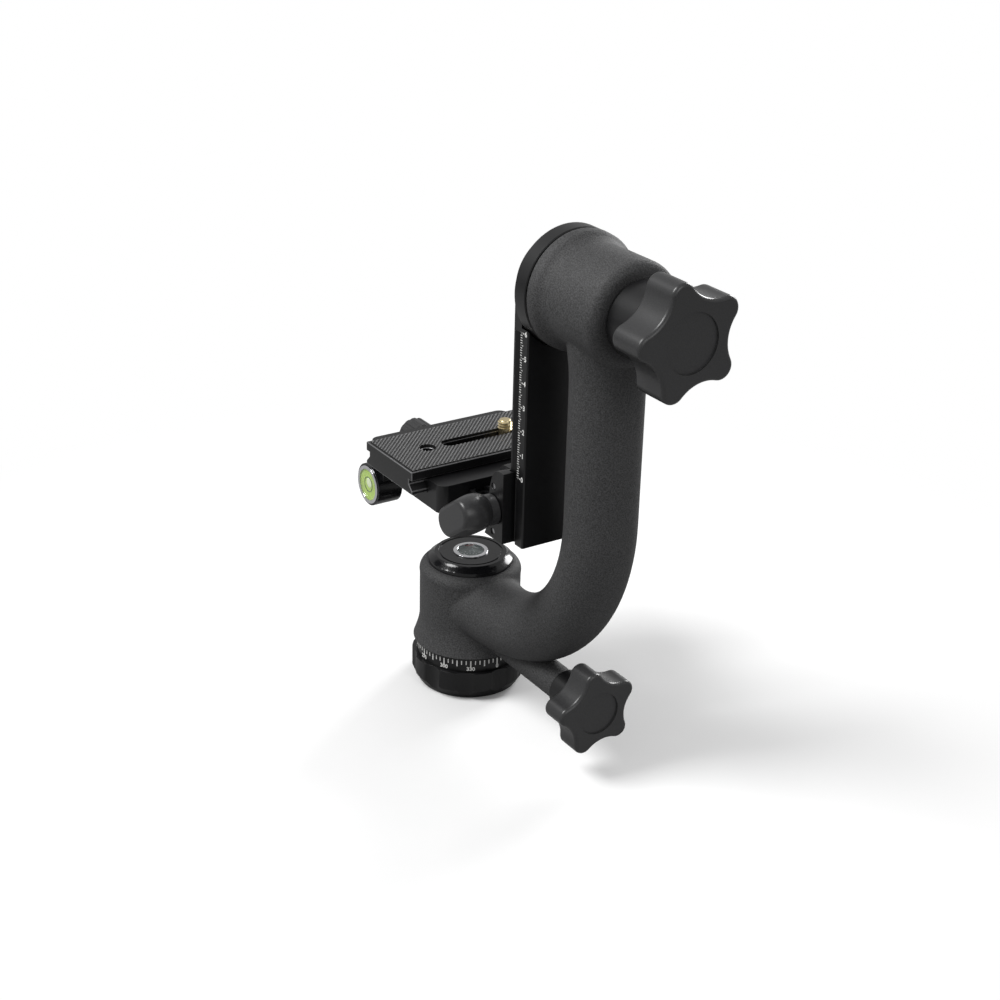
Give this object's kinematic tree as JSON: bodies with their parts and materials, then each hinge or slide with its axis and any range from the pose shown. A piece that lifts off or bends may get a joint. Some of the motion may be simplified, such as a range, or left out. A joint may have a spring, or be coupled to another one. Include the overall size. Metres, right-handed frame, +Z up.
{
  "type": "gimbal_tripod_head",
  "caption": "Gimbal tripod head: cast J-arm that pans on a geared base ring, tilting swing arm with dovetail rail, sliding quick-release platform and star knobs.",
  "frame": {"origin": "centre of the base underside on the pan axis, at the mouth of the mounting thread", "axes": "+Z up along the pan axis, +X from the pan axis toward the arm and the tilt knob, +Y away from the height lock"},
  "size_m": [0.1862, 0.085, 0.2254],
  "materials": {
    "powder_coat": "matte",
    "black_anodised": "satin",
    "gloss_black": "gloss",
    "steel": "satin",
    "black_steel": "satin",
    "brass": "polished",
    "knob_plastic": "satin",
    "washer_plastic": "matte",
    "pad_rubber": "matte",
    "chrome": "polished",
    "dial_print": "gloss",
    "needle_paint": "gloss",
    "clear_glass": "polished",
    "vial_green": "gloss"
  },
  "bodies": {
    "base": {"base_grip": "black_anodised", "thread_insert": "steel", "base_screws": "black_steel", "degree_ring": "black_anodised", "pan_spindle": "steel", "pan_inner_races": "steel", "spindle_nut": "steel"},
    "arm": {"arm_casting": "powder_coat", "pan_outer_races": "steel", "top_cap": "gloss_black", "compass_cup": "chrome", "compass_dial": "dial_print", "compass_lens": "clear_glass", "compass_ring": "chrome", "tilt_outer_races": "steel", "thrust_washer": "washer_plastic"},
    "compass_card": {"compass_needle": "needle_paint"},
    "pan_brake": {"pan_shoe": "brass"},
    "pan_lock": {"pan_stud": "steel", "pan_knob_neck": "black_anodised", "pan_knob": "knob_plastic"},
    "swing": {"swing_arm": "black_anodised", "tilt_flange": "black_anodised", "tilt_axle": "steel", "flange_screws": "black_steel", "axle_cap": "black_anodised", "tilt_inner_races": "steel", "rail_stop_screw": "black_steel"},
    "tilt_brake": {"tilt_pressure_washer": "steel"},
    "tilt_lock": {"tilt_knob_neck": "black_anodised", "tilt_knob_insert": "brass", "tilt_knob": "knob_plastic"},
    "platform": {"rail_bracket": "black_anodised", "platform_leg": "black_anodised", "leg_screws": "black_steel", "clamp_base": "black_anodised", "clamp_screws": "black_steel", "rail_jaw_dowels": "steel", "jaw_guide_pins": "steel"},
    "rail_clamp": {"rail_jaw": "black_anodised"},
    "height_lock": {"height_stud": "steel", "height_knob": "knob_plastic"},
    "plate_clamp": {"clamp_jaw": "black_anodised", "level_housing": "gloss_black", "level_screw": "black_steel", "level_vial": "vial_green", "level_bezel": "chrome"},
    "plate_lock": {"clamp_stud": "steel", "clamp_knob": "knob_plastic"},
    "plate": {"quick_plate": "black_anodised", "plate_pad": "pad_rubber", "plate_stop_screw": "steel"},
    "screw_carrier": {"camera_screw_washer": "steel"},
    "mount_screw": {"camera_screw": "brass"}
  },
  "joints": [
    {"name": "pan", "type": "hinge", "parent": "base", "child": "arm", "pos_m": [0, 0, 0.0296], "axis": [0, 0, 1], "continuous": true},
    {"name": "needle_turn", "type": "hinge", "parent": "arm", "child": "compass_card", "pos_m": [0, 0, 0.0576], "axis": [0, 0, 1], "continuous": true},
    {"name": "pan_shoe_slide", "type": "slide", "parent": "arm", "child": "pan_brake", "axis": [1, 0, 0], "range_m": [0, 0.00125]},
    {"name": "pan_knob_turn", "type": "hinge", "parent": "pan_brake", "child": "pan_lock", "pos_m": [0.0867, 0, 0.0299], "axis": [1, 0, 0], "range_deg": [0, 364]},
    {"name": "tilt", "type": "hinge", "parent": "arm", "child": "swing", "pos_m": [0.0721, 0, 0.2016], "axis": [1, 0, 0], "continuous": true},
    {"name": "tilt_washer_slide", "type": "slide", "parent": "swing", "child": "tilt_brake", "axis": [1, 0, 0], "range_m": [0, 0.0015]},
    {"name": "tilt_knob_turn", "type": "hinge", "parent": "tilt_brake", "child": "tilt_lock", "pos_m": [0.1257, 0, 0.2016], "axis": [1, 0, 0], "range_deg": [0, 364]},
    {"name": "height_slide", "type": "slide", "parent": "swing", "child": "platform", "axis": [0, 0, 1], "range_m": [0, 0.056]},
    {"name": "rail_jaw_slide", "type": "slide", "parent": "platform", "child": "rail_clamp", "axis": [0, -1, 0], "range_m": [0, 0.001]},
    {"name": "height_knob_turn", "type": "hinge", "parent": "rail_clamp", "child": "height_lock", "pos_m": [0.0541, -0.028, 0.1085], "axis": [0, -1, 0], "range_deg": [0, 364]},
    {"name": "clamp_jaw_slide", "type": "slide", "parent": "platform", "child": "plate_clamp", "axis": [-1, 0, 0], "range_m": [0, 0.003]},
    {"name": "clamp_knob_turn", "type": "hinge", "parent": "plate_clamp", "child": "plate_lock", "pos_m": [-0.033, -0.004, 0.1014], "axis": [-1, 0, 0], "range_deg": [0, 1092]},
    {"name": "plate_slide", "type": "slide", "parent": "platform", "child": "plate", "axis": [0, 1, 0], "range_m": [-0.02, 0.0023]},
    {"name": "screw_slide", "type": "slide", "parent": "plate", "child": "screw_carrier", "axis": [0, 1, 0], "range_m": [-0.0275, 0.0026]},
    {"name": "camera_screw_turn", "type": "hinge", "parent": "screw_carrier", "child": "mount_screw", "pos_m": [0.0009, 0.0157, 0.1101], "axis": [0, 0, 1], "continuous": true}
  ],
  "couplings": [
    {"joint": "pan_knob_turn", "follows": "pan_shoe_slide", "rad_per_m": 5026.5},
    {"joint": "tilt_knob_turn", "follows": "tilt_washer_slide", "rad_per_m": 4188.8},
    {"joint": "height_knob_turn", "follows": "rail_jaw_slide", "rad_per_m": 6283.2},
    {"joint": "clamp_knob_turn", "follows": "clamp_jaw_slide", "rad_per_m": 6283.2}
  ]
}
